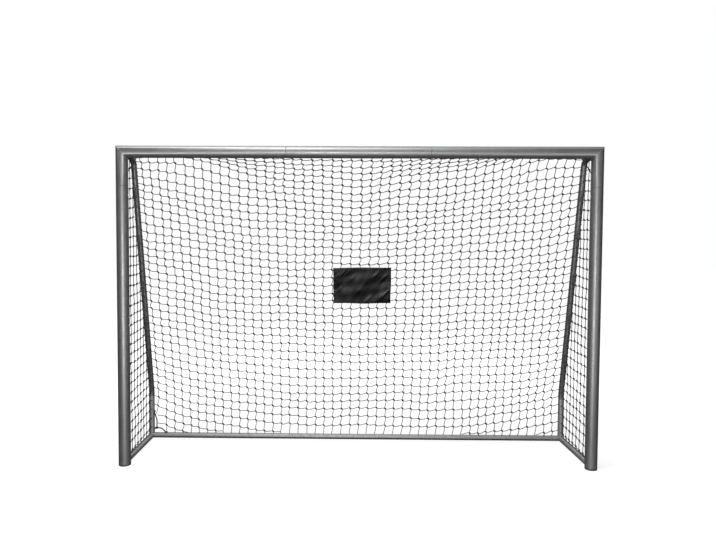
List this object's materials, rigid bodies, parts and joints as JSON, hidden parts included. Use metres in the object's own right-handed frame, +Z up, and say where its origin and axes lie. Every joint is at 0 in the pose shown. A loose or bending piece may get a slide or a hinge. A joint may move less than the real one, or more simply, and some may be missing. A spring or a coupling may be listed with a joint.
{
  "type": "soccer goal",
  "caption": "Free-standing goal of round steel tube with mitred corners, slanted rear braces, a bar on the floor and a hanging knotted net; spring snap buttons hold the tube joints.",
  "frame": {"origin": "on the floor, at the middle of the goal's box", "axes": "X along the crossbar, Y from the mouth towards the rear bar, Z up"},
  "size_m": [3, 0.6166, 2],
  "materials": {
    "frame_tube": "powder coated, semi-gloss dark grey",
    "rear_tube": "powder coated, semi-gloss dark grey",
    "inner_steel": "zinc plated tube",
    "button_steel": "nickel plated",
    "spring_steel": "blued strip",
    "cap_plastic": "moulded black plastic",
    "hook_plastic": "moulded black plastic",
    "net_twine": "black knotted twine",
    "cord": "black laid cord",
    "label_cloth": "black woven cloth, bare"
  },
  "bodies": {
    "frame": {"back_net_1": "net_twine", "back_net_2": "net_twine", "back_net_3": "net_twine", "back_net_4": "net_twine", "border_cord": "cord", "brace_left": "rear_tube", "brace_right": "rear_tube", "brace_sleeve_left": "inner_steel", "brace_sleeve_right": "inner_steel", "corner_left": "frame_tube", "corner_right": "frame_tube", "crossbar_hook_1": "hook_plastic", "crossbar_hook_2": "hook_plastic", "crossbar_hook_3": "hook_plastic", "crossbar_hook_4": "hook_plastic", "crossbar_hook_5": "hook_plastic", "crossbar_middle": "frame_tube", "foot_cap_left": "cap_plastic", "foot_cap_right": "cap_plastic", "joint_sleeve_crossbar_left": "inner_steel", "joint_sleeve_crossbar_right": "inner_steel", "joint_sleeve_lower_post_left": "inner_steel", "joint_sleeve_lower_post_right": "inner_steel", "joint_sleeve_upper_post_left": "inner_steel", "joint_sleeve_upper_post_right": "inner_steel", "label": "label_cloth", "leaf_spring_crossbar_left": "spring_steel", "leaf_spring_crossbar_right": "spring_steel", "leaf_spring_lower_post_left": "spring_steel", "leaf_spring_lower_post_right": "spring_steel", "leaf_spring_upper_post_left": "spring_steel", "leaf_spring_upper_post_right": "spring_steel", "post_hook_left_1": "hook_plastic", "post_hook_left_2": "hook_plastic", "post_hook_left_3": "hook_plastic", "post_hook_right_1": "hook_plastic", "post_hook_right_2": "hook_plastic", "post_hook_right_3": "hook_plastic", "post_lower_left": "frame_tube", "post_lower_right": "frame_tube", "post_middle_left": "frame_tube", "post_middle_right": "frame_tube", "rear_bar_left": "rear_tube", "rear_bar_middle": "rear_tube", "rear_bar_right": "rear_tube", "rear_bar_sleeve_left": "inner_steel", "rear_bar_sleeve_right": "inner_steel", "side_frame_left": "rear_tube", "side_frame_right": "rear_tube", "side_net_left": "net_twine", "side_net_right": "net_twine", "tie_cord": "cord"},
    "button_crossbar_left": {"snap_button_crossbar_left": "button_steel"},
    "button_crossbar_right": {"snap_button_crossbar_right": "button_steel"},
    "button_lower_post_left": {"snap_button_lower_post_left": "button_steel"},
    "button_lower_post_right": {"snap_button_lower_post_right": "button_steel"},
    "button_upper_post_left": {"snap_button_upper_post_left": "button_steel"},
    "button_upper_post_right": {"snap_button_upper_post_right": "button_steel"}
  },
  "joints": [
    {"name": "press_crossbar_left", "type": "slide", "parent": "frame", "child": "button_crossbar_left", "axis": [0, 0, 1], "range_m": [0, 0.0073], "stiffness_N_per_m": 2000, "springref_m": -0.004, "deforming": ["leaf_spring_crossbar_left"]},
    {"name": "press_crossbar_right", "type": "slide", "parent": "frame", "child": "button_crossbar_right", "axis": [0, 0, 1], "range_m": [0, 0.0073], "stiffness_N_per_m": 2000, "springref_m": -0.004, "deforming": ["leaf_spring_crossbar_right"]},
    {"name": "press_lower_post_left", "type": "slide", "parent": "frame", "child": "button_lower_post_left", "axis": [-1, 0, 0], "range_m": [0, 0.0073], "stiffness_N_per_m": 2000, "springref_m": -0.004, "deforming": ["leaf_spring_lower_post_left"]},
    {"name": "press_lower_post_right", "type": "slide", "parent": "frame", "child": "button_lower_post_right", "axis": [1, 0, 0], "range_m": [0, 0.0073], "stiffness_N_per_m": 2000, "springref_m": -0.004, "deforming": ["leaf_spring_lower_post_right"]},
    {"name": "press_upper_post_left", "type": "slide", "parent": "frame", "child": "button_upper_post_left", "axis": [-1, 0, 0], "range_m": [0, 0.0073], "stiffness_N_per_m": 2000, "springref_m": -0.004, "deforming": ["leaf_spring_upper_post_left"]},
    {"name": "press_upper_post_right", "type": "slide", "parent": "frame", "child": "button_upper_post_right", "axis": [1, 0, 0], "range_m": [0, 0.0073], "stiffness_N_per_m": 2000, "springref_m": -0.004, "deforming": ["leaf_spring_upper_post_right"]}
  ]
}
